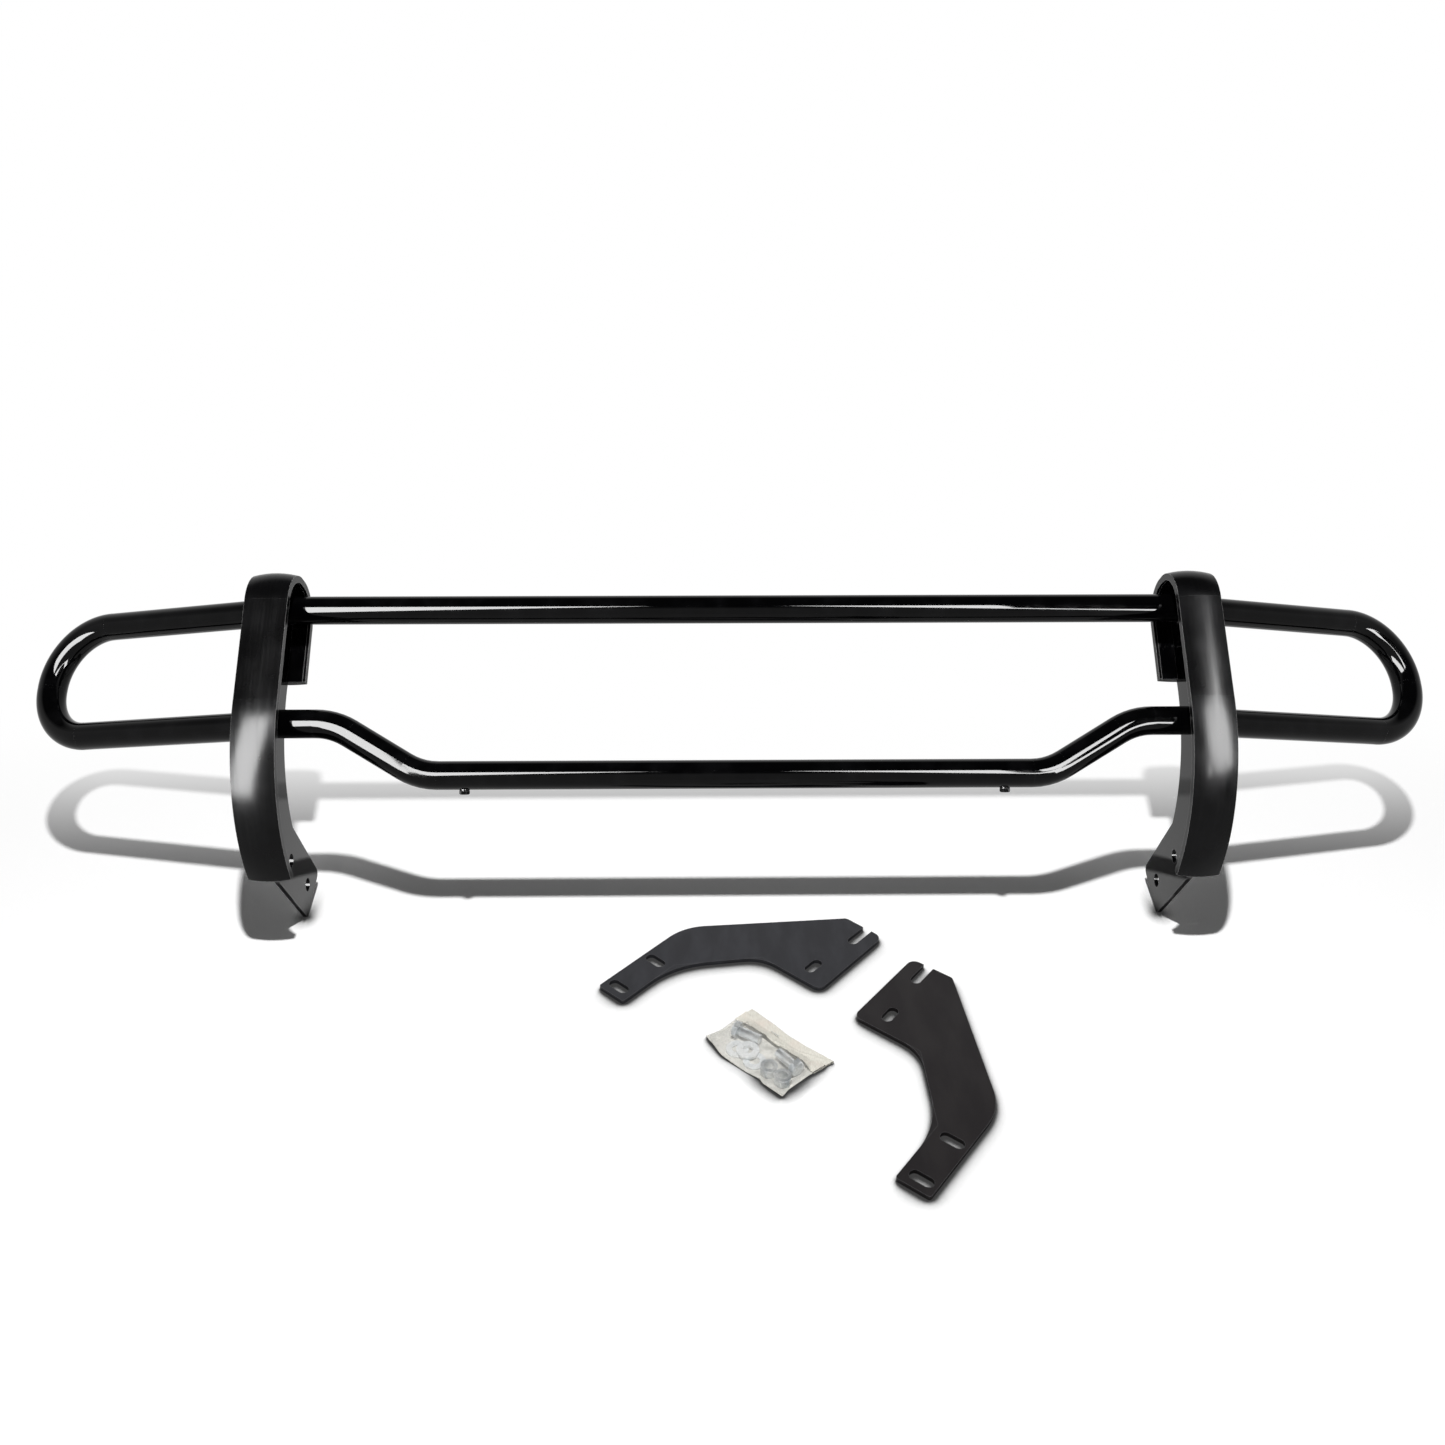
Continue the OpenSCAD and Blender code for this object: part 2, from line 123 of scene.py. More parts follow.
class NodeGraph:
    """Makes and links the nodes of one material, all of them patterned on Object coordinates."""

    def __init__(self, name: str) -> None:
        """Starts an empty material.

        Args:
            name: the material's name.
        """
        self.material = bpy.data.materials.new(name)
        self.material.use_nodes = True
        self.tree = self.material.node_tree
        self.tree.nodes.clear()
        self.place = self.node("TexCoord").outputs["Object"]

    def node(self, kind: str, inputs: dict | None = None, **settings: object) -> bpy.types.Node:
        """Adds a node to this material, as add_node does."""
        return add_node(self.tree, kind, inputs, **settings)

    def cloud(self, scale: float, stretch: Triple = (1.0, 1.0, 1.0), detail: float = 4.0) -> Socket:
        """Adds a soft noise.

        Args:
            scale: how many lumps there are to a metre.
            stretch: how the lumps are squeezed along X, Y and Z.
            detail: how many finer layers lie on the lumps.

        Returns:
            Its grey value.
        """
        mapped = self.node("Mapping", {"Vector": self.place, "Scale": stretch}).outputs["Vector"]
        sizes = {"Vector": mapped, "Scale": scale, "Detail": detail}
        return self.node("TexNoise", sizes).outputs["Fac"]

    def between(
        self, value: Socket, low: float, high: float, start: float = 0.3, end: float = 0.7
    ) -> Socket:
        """Eases a grey value from low to high, as it goes from start to end."""
        sizes = {"Value": value, "From Min": start, "From Max": end, "To Min": low, "To Max": high}
        return self.node("MapRange", sizes, interpolation_type="SMOOTHSTEP").outputs["Result"]

    def blend(self, share: Socket, first: Colour | Socket, second: Colour | Socket) -> Socket:
        """Blends two colours.

        Args:
            share: a grey value, where 0 gives the first colour and 1 the second.
            first: the first colour.
            second: the second colour.

        Returns:
            The blended colour.
        """
        inputs = {"Factor": share}
        for slot, colour in ((FIRST_COLOUR, first), (SECOND_COLOUR, second)):
            inputs[slot] = colour if isinstance(colour, Socket) else (*colour, 1.0)
        return self.node("Mix", inputs, data_type="RGBA").outputs[MIXED_COLOUR]

    def painted_edge_highlight(
        self, colour: Socket, highlight_colour: Colour, width: float, turned: Pair = (0.75, 0.97)
    ) -> Socket:
        """Lightens a colour along sharp edges: a painted highlight of the light that the edges
        catch.

        Args:
            colour: the colour elsewhere.
            highlight_colour: the colour of the painted highlight on the edges.
            width: how wide the painted highlight is, in metres.
            turned: how much alike the true and the rounded surface face, first where the painted
                highlight is fullest and then where there is none.

        Returns:
            The colour with rubbed edges.
        """
        rounded = self.node("Bevel", {"Radius": width}, samples=6).outputs["Normal"]
        true = self.node("NewGeometry").outputs["Normal"]
        alike = self.node("VectorMath", {0: rounded, 1: true}, operation="DOT_PRODUCT")
        highlight_share = self.between(alike.outputs["Value"], 1.0, 0.0, *turned)
        return self.blend(highlight_share, colour, highlight_colour)

    def relief(
        self, height: Socket, depth: float, strength: float, over: Socket | None = None
    ) -> Socket:
        """Turns a grey value into a fine relief.

        Args:
            height: the grey value.
            depth: the relief's depth in metres.
            strength: how much of it shows, from 0 to 1.
            over: a relief that this one lies on.

        Returns:
            The surface normal.
        """
        inputs = {"Height": height, "Distance": depth, "Strength": strength}
        if over is not None:
            inputs["Normal"] = over
        return self.node("Bump", inputs).outputs["Normal"]

    def finish(self, shader: Socket) -> bpy.types.Material:
        """Covers the surface with a shader, which ends the material."""
        self.node("OutputMaterial", {"Surface": shader})
        return self.material


@dataclass(frozen=True)
class Finish(ABC):
    """What every finish has: two close colours and a range of roughness.

    In the finishes, a scale counts lumps to a metre, and depths and widths are in metres.
    """

    name: str
    dark: Colour
    light: Colour
    rough_low: float
    rough_high: float

    @abstractmethod
    def shade(self, graph: NodeGraph) -> dict:
        """Says what goes into the surface shader.

        Args:
            graph: the material's nodes.

        Returns:
            The shader's inputs by name.
        """

    def make(self) -> bpy.types.Material:
        """Makes the material.

        Returns:
            The material.
        """
        graph = NodeGraph(self.name)
        shader = graph.node("BsdfPrincipled", self.shade(graph))
        return graph.finish(shader.outputs["BSDF"])


@dataclass(frozen=True)
class GlossPaint(Finish):
    """Black gloss paint with a trace of orange peel and thin dust."""

    shine: float = 0.1
    # edge and edge_width: a painted highlight along sharp edges
    edge: Colour = (0.13, 0.13, 0.132)
    edge_width: float = 0.001
    dust_scale: float = 36.0
    dust_pales: Pair = (0.42, 0.72)
    dust_dulls: Pair = (0.4, 0.75)
    peel_scale: float = 420.0
    peel_depth: float = 0.00002
    peel_strength: float = 0.04

    def shade(self, graph: NodeGraph) -> dict:
        """Adds the orange peel, the paint's low shine and the dust.

        Args:
            graph: the material's nodes.

        Returns:
            The shader's inputs by name.
        """
        dust = graph.cloud(self.dust_scale, detail=8.0)
        peel = graph.cloud(self.peel_scale, detail=2.0)
        colour = graph.blend(graph.between(dust, 0.0, 1.0, *self.dust_pales), self.dark, self.light)
        return {
            "Base Color": graph.painted_edge_highlight(colour, self.edge, self.edge_width),
            "Roughness": graph.between(dust, self.rough_low, self.rough_high, *self.dust_dulls),
            "Specular IOR Level": self.shine,
            "Normal": graph.relief(peel, self.peel_depth, self.peel_strength),
        }


@dataclass(frozen=True)
class WeldPaint(GlossPaint):
    """The same paint over a weld's ripples and spatter."""

    ripple_scale: float = 260.0
    ripple_depth: float = 0.0009
    ripple_strength: float = 0.5

    def shade(self, graph: NodeGraph) -> dict:
        """Adds the ripples under the paint.

        Args:
            graph: the material's nodes.

        Returns:
            The shader's inputs by name.
        """
        inputs = super().shade(graph)
        sizes = {"Vector": graph.place, "Scale": self.ripple_scale}
        cells = graph.node("TexVoronoi", sizes, feature="SMOOTH_F1").outputs["Distance"]
        inputs["Normal"] = graph.relief(cells, self.ripple_depth, self.ripple_strength)
        return inputs


@dataclass(frozen=True)
class MouldedRubber(Finish):
    """Satin moulded rubber with flow lines along the strip and a fine skin."""

    shine: float = 0.08
    # edge and edge_width: a painted highlight along sharp edges
    edge: Colour = (0.26, 0.26, 0.26)
    edge_width: float = 0.0015
    patch_scale: float = 22.0
    patches_dull: Pair = (0.75, 1.25)
    flow: Triple = (1.0, 0.03, 0.03)
    flow_scale: float = 520.0
    flow_depth: float = 0.00005
    flow_strength: float = 0.4
    grain_scale: float = 1500.0
    grain_depth: float = 0.00004
    grain_strength: float = 0.12

    def shade(self, graph: NodeGraph) -> dict:
        """Adds the flow lines and the skin's grain.

        Args:
            graph: the material's nodes.

        Returns:
            The shader's inputs by name.
        """
        lines = graph.cloud(self.flow_scale, self.flow, detail=3.0)
        patches = graph.cloud(self.patch_scale)
        grain = graph.cloud(self.grain_scale, detail=2.0)
        skin = graph.relief(grain, self.grain_depth, self.grain_strength)
        both = graph.node("Math", {0: lines, 1: patches}, operation="ADD").outputs["Value"]
        colour = graph.blend(graph.between(patches, 0.0, 1.0), self.dark, self.light)
        return {
            "Base Color": graph.painted_edge_highlight(colour, self.edge, self.edge_width),
            "Roughness": graph.between(both, self.rough_low, self.rough_high, *self.patches_dull),
            "Specular IOR Level": self.shine,
            "Normal": graph.relief(lines, self.flow_depth, self.flow_strength, skin),
        }


@dataclass(frozen=True)
class SatinCoat(Finish):
    """Satin powder coat with a pebbled skin and faint rubs."""

    shine: float = 0.2
    # edge and edge_width: a painted highlight along sharp edges
    edge: Colour = (0.12, 0.12, 0.125)
    edge_width: float = 0.0009
    rub: Triple = (1.0, 0.35, 1.0)
    rub_scale: float = 45.0
    rubs_show: Pair = (0.35, 0.7)
    pebble_scale: float = 1100.0
    pebble_depth: float = 0.00006
    pebble_strength: float = 0.35

    def shade(self, graph: NodeGraph) -> dict:
        """Adds the pebbled skin and the rubs.

        Args:
            graph: the material's nodes.

        Returns:
            The shader's inputs by name.
        """
        rubs = graph.cloud(self.rub_scale, self.rub, detail=7.0)
        pebbles = graph.cloud(self.pebble_scale, detail=1.0)
        colour = graph.blend(graph.between(rubs, 0.0, 1.0, *self.rubs_show), self.dark, self.light)
        return {
            "Base Color": graph.painted_edge_highlight(colour, self.edge, self.edge_width),
            "Roughness": graph.between(rubs, self.rough_high, self.rough_low, *self.rubs_show),
            "Specular IOR Level": self.shine,
            "Normal": graph.relief(pebbles, self.pebble_depth, self.pebble_strength),
        }


@dataclass(frozen=True)
class ZincPlate(Finish):
    """Bright zinc plate, a little blue, with dull spots and fine turning marks."""

    metal: float = 0.9
    spot_scale: float = 160.0
    mark: Triple = (1.0, 1.0, 0.1)
    mark_scale: float = 2200.0
    mark_depth: float = 0.00003
    mark_strength: float = 0.25

    def shade(self, graph: NodeGraph) -> dict:
        """Adds the dull spots and the turning marks on uncoated metal.

        Args:
            graph: the material's nodes.

        Returns:
            The shader's inputs by name.
        """
        spots = graph.cloud(self.spot_scale, detail=6.0)
        marks = graph.cloud(self.mark_scale, self.mark, detail=2.0)
        return {
            "Base Color": graph.blend(graph.between(spots, 0.0, 1.0), self.dark, self.light),
            "Metallic": self.metal,
            "Roughness": graph.between(spots, self.rough_high, self.rough_low),
            "Normal": graph.relief(marks, self.mark_depth, self.mark_strength),
        }


@dataclass(frozen=True)
class ClearFilm(Finish):
    """Milky plastic film with fine creases, more see-through in some places than in others."""

    shine: float = 0.15
    cloudy_low: float = 0.07
    cloudy_high: float = 0.23
    cloud_scale: float = 95.0
    crease_scale: float = 190.0
    crease_depth: float = 0.0006
    crease_strength: float = 0.3

    def shade(self, graph: NodeGraph) -> dict:
        """Adds the cloudiness and the fine creases.

        Args:
            graph: the material's nodes.

        Returns:
            The shader's inputs by name.
        """
        clouds = graph.cloud(self.cloud_scale, detail=6.0)
        sizes = {"Vector": graph.place, "Scale": self.crease_scale}
        creases = graph.node("TexVoronoi", sizes, feature="DISTANCE_TO_EDGE").outputs["Distance"]
        return {
            "Base Color": graph.blend(graph.between(clouds, 0.0, 1.0), self.dark, self.light),
            "Roughness": graph.between(clouds, self.rough_low, self.rough_high),
            "Specular IOR Level": self.shine,
            "Alpha": graph.between(clouds, self.cloudy_low, self.cloudy_high),
            "Normal": graph.relief(creases, self.crease_depth, self.crease_strength),
        }


@dataclass(frozen=True)
class HeaderPaper(Finish):
    """Uncoated cream paper with short fibres and a warm stain."""

    shine: float = 0.15
    fibre: Triple = (1.0, 0.3, 1.0)
    fibre_scale: float = 900.0
    fibre_depth: float = 0.00008
    fibre_strength: float = 0.4
    stain: Colour = (0.78, 0.68, 0.60)
    stain_scale: float = 40.0
    stain_most: float = 0.55
    stain_shows: Pair = (0.45, 0.75)

    def shade(self, graph: NodeGraph) -> dict:
        """Adds the fibres and the stain.

        Args:
            graph: the material's nodes.

        Returns:
            The shader's inputs by name.
        """
        fibres = graph.cloud(self.fibre_scale, self.fibre, detail=5.0)
        stains = graph.cloud(self.stain_scale)
        patches = graph.between(stains, 0.0, self.stain_most, *self.stain_shows)
        plain = graph.blend(graph.between(fibres, 0.0, 1.0), self.dark, self.light)
        return {
            "Base Color": graph.blend(patches, plain, self.stain),
            "Roughness": graph.between(fibres, self.rough_low, self.rough_high),
            "Specular IOR Level": self.shine,
            "Normal": graph.relief(fibres, self.fibre_depth, self.fibre_strength),
        }


@dataclass(frozen=True)
class StudioWhite:
    """The floor: matt white that keeps shadows, and fades far out into the white background."""

    name: str = "studio_white"
    white: float = 0.95
    seen_white: float = 1.11
    least_glow: float = 0.03
    # contact_*: a painted contact shadow, ambient occlusion leaned towards the back that darkens
    # the floor in front of low pieces
    contact_reach: float = 0.022
    contact_dark: float = 0.02
    contact_lean: Triple = (0.0, 0.62, 0.78)
    contact_fades: Pair = (0.62, 0.99)
    # fade_back: painted light, the floor glows whiter behind the guard and fades the back of its
    # shadow
    fade_back: Pair = (0.16, 0.62)
    fade_out: Pair = (1.25, 2.0)

    def make(self) -> bpy.types.Material:
        """Makes the material.

        Returns:
            The material.
        """
        graph = NodeGraph(self.name)
        # Painted contact shadow: leaned ambient occlusion darkens the floor just in front of low
        # pieces
        lean = graph.node("CombineXYZ", dict(zip("XYZ", self.contact_lean))).outputs["Vector"]
        reach = {"Distance": self.contact_reach, "Normal": lean}
        closeness = graph.node("AmbientOcclusion", reach, samples=16).outputs["AO"]
        open_sky = graph.between(closeness, self.contact_dark, 1.0, *self.contact_fades)
        seen = background_rays(graph.node)
        level = graph.between(seen, self.white, self.seen_white, 0.0, 1.0)
        shaded = graph.node("Math", {0: open_sky, 1: level}, operation="MULTIPLY").outputs["Value"]
        matt = graph.node("BsdfDiffuse", {"Color": shaded}).outputs["BSDF"]
        place = graph.node("SeparateXYZ", {"Vector": graph.place}).outputs
        far = graph.node("VectorMath", {0: graph.place}, operation="LENGTH").outputs["Value"]
        # Behind the guard the glow is painted light over the shadow; far out the floor fades into
        # the white background
        fades = {
            0: graph.between(place["Y"], self.least_glow, 1.0, *self.fade_back),
            1: graph.between(far, self.least_glow, 1.0, *self.fade_out),
        }
        whitest = graph.node("Math", fades, operation="MAXIMUM").outputs["Value"]
        share = graph.node("Math", {0: seen, 1: whitest}, operation="MULTIPLY").outputs["Value"]
        glow = graph.node("Emission", {"Color": WHITE, "Strength": 1.0}).outputs["Emission"]
        mixed = graph.node("MixShader", {0: share, 1: matt, 2: glow})
        return graph.finish(mixed.outputs["Shader"])


GLOSS_BLACK = GlossPaint(
    "gloss_black_paint", (0.0008, 0.0008, 0.001), (0.003, 0.003, 0.0034), 0.035, 0.09
)
WELD_BLACK = WeldPaint("weld_paint", (0.0015, 0.0015, 0.0018), (0.004, 0.004, 0.0045), 0.1, 0.22)
STRIP_BLACK = MouldedRubber(
    "strip_rubber", (0.002, 0.002, 0.0022), (0.0045, 0.0045, 0.005), 0.18, 0.24
)
# The brackets share one satin coat: the left one is painted lighter and the right one darker,
# painted light and shade for how the light falls on each
LEFT_COAT_PAINTED_LIGHTER = SatinCoat(
    "satin_black_coat_left_painted_lighter", (0.031, 0.0314, 0.035), (0.041, 0.0416, 0.047), 0.40, 0.47
)
RIGHT_COAT_PAINTED_DARKER = SatinCoat(
    "satin_black_coat_right_painted_darker", (0.018, 0.016, 0.0168), (0.0238, 0.0215, 0.022), 0.40, 0.47
)
ZINC = ZincPlate("zinc_plate", (0.56, 0.60, 0.62), (0.80, 0.83, 0.84), 0.3, 0.5)
# The washers' zinc: a pale, mostly matt copy of the zinc plate, a painted shine standing in for the
# light the washers reflect
ZINC_PAINTED_SHINE = ZincPlate(
    "zinc_plate_painted_shine", (0.88, 0.91, 0.92), (0.95, 0.965, 0.97), 0.3, 0.5, metal=0.3
)
FILM = ClearFilm("bag_film", (0.90, 0.91, 0.90), (0.97, 0.955, 0.92), 0.3, 0.5)
# The lower film: the same milky film, made darker and less see-through, painted shade under the
# upper film and the fasteners
SHADED_BACK_FILM = ClearFilm(
    "bag_back_film_painted_shade",
    (0.72, 0.71, 0.655),
    (0.86, 0.84, 0.78),
    0.3,
    0.5,
    cloudy_low=0.78,
    cloudy_high=0.92,
)
PAPER = HeaderPaper("header_paper", (0.69, 0.667, 0.592), (0.805, 0.788, 0.713), 0.7, 0.9)
WHITE_FLOOR = StudioWhite()


def put_on(piece: bpy.types.Object, material: bpy.types.Material) -> None:
    """Gives a piece one material all over.

    Args:
        piece: the piece.
        material: its material.
    """
    piece.data.materials.clear()
    piece.data.materials.append(material)


def select_none() -> None:
    """Leaves nothing selected, so that an operator acts on its own piece only."""
    bpy.ops.object.select_all(action="DESELECT")


class PaintShop:
    """Makes each finish's material once and puts it on pieces."""

    def __init__(self) -> None:
        """Starts with no materials made."""
        self.made: dict[str, bpy.types.Material] = {}

    def coat(self, piece: bpy.types.Object, finish: Finish) -> None:
        """Puts a finish on a piece and reports it.

        Args:
            piece: the piece.
            finish: its finish.
        """
        if finish.name not in self.made:
            self.made[finish.name] = finish.make()
        put_on(piece, self.made[finish.name])
        LOG.info("%s: %s", piece.name, finish.name)


# The guard and its loose brackets, which keep their CAD shapes


@dataclass
class WeldedGuard:
    """The welded guard: its plates, bars, loops, welds, cover strips and lamp screws."""

    painted: tuple[str, ...] = ("upright_plate", "flange_bar", "brush_loop", "lamp_screw")
    welded: tuple[str, ...] = ("bar_welds", "loop_welds", "threaded_insert")
    crossbars: tuple[str, ...] = ("upper_crossbar", "lower_crossbar")

    def finishes(self) -> dict[str, Finish]:
        """Pairs each of the guard's nodes with its finish.

        Returns:
            The finishes by node.
        """
        pairs: dict[str, Finish] = dict.fromkeys(self.crossbars, GLOSS_BLACK)
        for side in Side:
            pairs.update({f"{side.value}_{kind}": GLOSS_BLACK for kind in self.painted})
            pairs.update({f"{side.value}_{kind}": WELD_BLACK for kind in self.welded})
            pairs[f"{side.value}_cover_strip"] = STRIP_BLACK
        return pairs

    def dress(self, shop: PaintShop) -> None:
        """Finishes every node of the guard."""
        for node, finish in self.finishes().items():
            shop.coat(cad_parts[node], finish)


@dataclass
class LooseBrackets:
    """The two flat mounting brackets that lie in front of the guard."""

    # Each bracket gets its own lighter or darker copy of the coat: painted light and shade
    finishes: dict[Side, Finish] = field(
        default_factory=lambda: {Side.LEFT: LEFT_COAT_PAINTED_LIGHTER, Side.RIGHT: RIGHT_COAT_PAINTED_DARKER}
    )

    def dress(self, shop: PaintShop) -> None:
        """Finishes both brackets."""
        for side, finish in self.finishes.items():
            shop.coat(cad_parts[f"{side.value}_mounting_bracket"], finish)


# The bag of fasteners, in millimetres: u runs along the bag and v across it


def eased(points: WavyEdge, at: np.ndarray) -> np.ndarray:
    """Reads a wavy edge.

    Args:
        points: the edge's points, in order of their first values.
        at: where to read it.

    Returns:
        The second values there, eased from point to point.
    """
    firsts = np.array([p[0] for p in points], float)
    seconds = np.array([p[1] for p in points], float)
    step = np.clip(np.searchsorted(firsts, at) - 1, 0, len(firsts) - 2)
    share = np.clip((at - firsts[step]) / (firsts[step + 1] - firsts[step]), 0.0, 1.0)
    share = 0.5 * share + 0.5 * share * share * (3.0 - 2.0 * share)
    return seconds[step] + share * (seconds[step + 1] - seconds[step])


class Section(Enum):
    """How a lump under the film is rounded off across its length."""

    HEXAGON = "hexagon"
    ROUND = "round"
    FLAT = "flat"


@dataclass(frozen=True)
class Lump:
    """Something under the film that holds it up, between two places on its middle line."""

    section: Section
    start: Pair
    end: Pair
    radius: float
    top: float
    room: float = 0.8
    hexagon_slope: float = math.sqrt(3.0)

    def height(self, u: np.ndarray, v: np.ndarray) -> np.ndarray:
        """Says how high the lump holds the film.

        Args:
            u: places along the bag.
            v: places across the bag.

        Returns:
            The lump's height at each place, and 0 beside it.
        """
        run = np.subtract(self.end, self.start)
        length = math.hypot(*run)
        aim = run / length if length > 0.0 else np.array([1.0, 0.0])
        along = (u - self.start[0]) * aim[0] + (v - self.start[1]) * aim[1]
        across = np.abs((v - self.start[1]) * aim[0] - (u - self.start[0]) * aim[1])
        past = np.maximum(np.maximum(-along, along - length), 0.0)
        inside = np.maximum(across - self.room, 0.0)
        if self.section is Section.FLAT:
            return np.where(np.hypot(past, across) < self.radius + self.room, self.top, 0.0)
        if self.section is Section.ROUND:
            drop = self.radius - np.sqrt(np.maximum(self.radius**2 - inside**2, 0.0))
        else:
            drop = np.maximum(inside - self.radius / 2, 0.0) * self.hexagon_slope
        beside = (past > self.room) | (across > self.radius + self.room)
        return np.where(beside, 0.0, self.top - drop)


@dataclass(frozen=True)
class Wrinkles:
    """A field of sharp little ridges."""

    height: float
    spacing: float
    seed: float
    sharpness: float = 2.2
    lean: float = 0.6
    squeeze: float = 0.55
    slip: float = 0.2

    def over(self, u: np.ndarray, v: np.ndarray) -> np.ndarray:
        """Makes the ridges.

        Args:
            u: places along the bag.
            v: places across the bag.

        Returns:
            The ridges' heights.
        """
        values = []
        for a, b in zip(u.ravel() / self.spacing, v.ravel() / self.spacing):
            at = Vector((a + self.lean * b, self.squeeze * b - self.slip * a, self.seed))
            values.append(1.0 - min(1.0, self.sharpness * abs(noise.noise(at))))
        return self.height * np.array(values).reshape(u.shape) ** 2


@dataclass(frozen=True)
class Curl:
    """How the bag's near edge and its free ends curl up from the floor."""

    near_height: float = 2.4
    near_reach: float = 0.16
    near_waves: float = 7.3
    near_starts: float = 0.9
    end_height: float = 1.8
    end_reach: float = 0.08
    end_nearest: float = 0.4
    end_grows: float = 0.6

    def lift(self, s: np.ndarray, t: np.ndarray) -> np.ndarray:
        """Says how far the sheet curls up.

        Args:
            s: places along the sheet, from 0 to 1.
            t: places across the sheet, from 0 to 1.

        Returns:
            The lift at each place.
        """
        near = np.clip(1.0 - t / self.near_reach, 0.0, 1.0) ** 2
        ends = np.clip(1.0 - np.minimum(s, 1.0 - s) / self.end_reach, 0.0, 1.0) ** 2
        wave = 0.5 + 0.5 * np.sin(self.near_waves * s + self.near_starts)
        end_share = self.end_nearest + self.end_grows * t
        return self.near_height * near * wave + self.end_height * ends * end_share


@dataclass(frozen=True)
class HeaderFold:
    """The paper header: two leaves folded over the bag's open edge, with a crease and a flap."""

    thick: float = 0.25
    starts: float = 10.5
    lower_leaf_short: float = 0.8
    fold_share: float = 0.08
    fold_reach: float = 1.0
    crease: WavyEdge = ((-19.0, 9.5), (0.0, 14.0), (21.0, 21.0), (45.0, 30.0), (61.0, 37.0))
    crease_height: float = 0.9
    crease_width: float = 1.3
    crease_run: float = 12.0
    flap_height: float = 4.5
    flap_width: float = 14.0
    flap_from: float = -5.0
    flap_run: float = 60.0
    flap_power: float = 1.5
    flap_lower_share: float = 0.8
    film_gap: float = 0.45
    floor_gap: float = 0.25
    floor_rise: float = 0.1
    wrinkles: Wrinkles = Wrinkles(0.5, 17.0, 3.3)

    def leaf(self, t: np.ndarray) -> np.ndarray:
        """Says how far out on a leaf a place across the unfolded sheet is, from 0 to 1."""
        half_fold = self.fold_share / 2
        return np.clip(np.abs(t - 0.5) - half_fold, 0.0, 1.0) / (0.5 - half_fold)

    def turn(self, t: np.ndarray) -> np.ndarray:
        """Says how far round the fold it is: 0 on the lower leaf, half a turn on the upper one."""
        return np.clip((t - 0.5 + self.fold_share / 2) / self.fold_share, 0.0, 1.0) * math.pi

    def ridge_and_flap(self, u: np.ndarray, v: np.ndarray) -> tuple[np.ndarray, np.ndarray]:
        """Shapes the crease and the flap that stands up past it.

        Args:
            u: places along the bag.
            v: places across the bag.

        Returns:
            The heights of the ridge and of the flap.
        """
        first, last = self.crease[0][0], self.crease[-1][0]
        past = v - eased(self.crease, np.clip(u, first, last))
        grows = np.clip((u - first) / self.crease_run, 0.0, 1.0)
        ridge = self.crease_height * np.exp(-((past / self.crease_width) ** 2)) * grows
        rises = np.clip((u - self.flap_from) / self.flap_run, 0.0, 1.0) ** self.flap_power
        return ridge, self.flap_height * np.clip(past / self.flap_width, 0.0, 1.0) * rises


@dataclass(frozen=True)
class Staple:
    """The header's wire staple: a crown with a bent leg at each end."""

    place: Pair = (-9.0, 23.0)
    length: float = 11.0
    wire: float = 0.55
    leg_share: float = 0.8
    weld_share: float = 0.01
    sides: int = 12
    bend_steps: int = 6
    paper_round_it: float = 6.0
    smooth_angle: float = 40.0

    def build(self) -> bpy.types.Object:
        """Bends the wire, with its crown along X above the origin and its legs down.

        Returns:
            The piece.
        """
        half, bend = self.length / 2 * MM, self.wire * MM
        radius, leg = self.wire / 2 * MM, self.leg_share * self.wire * MM
        select_none()
        bpy.ops.mesh.primitive_circle_add(
            vertices=self.sides, radius=radius, fill_type="NGON", location=(-half, 0, 0)
        )
        piece = bpy.context.active_object
        piece.name = piece.data.name = "bag_staple"
        bpy.ops.object.transform_apply(location=True, rotation=False, scale=False)
        bpy.ops.object.mode_set(mode="EDIT")
        bpy.ops.mesh.select_all(action="SELECT")
        bpy.ops.mesh.extrude_region_move(TRANSFORM_OT_translate={"value": (0, 0, leg)})
        turn = {"steps": self.bend_steps, "angle": math.pi / 2, "axis": (0, 1, 0)}
        bpy.ops.mesh.spin(center=(-half + bend, 0, leg), **turn)
        crown = (2 * (half - bend), 0, 0)
        bpy.ops.mesh.extrude_region_move(TRANSFORM_OT_translate={"value": crown})
        bpy.ops.mesh.spin(center=(half - bend, 0, leg), **turn)
        bpy.ops.mesh.extrude_region_move(TRANSFORM_OT_translate={"value": (0, 0, -leg)})
        bpy.ops.mesh.select_all(action="SELECT")
        bpy.ops.mesh.remove_doubles(threshold=self.weld_share * self.wire * MM)
        bpy.ops.mesh.normals_make_consistent(inside=False)
        bpy.ops.object.mode_set(mode="OBJECT")
        return piece


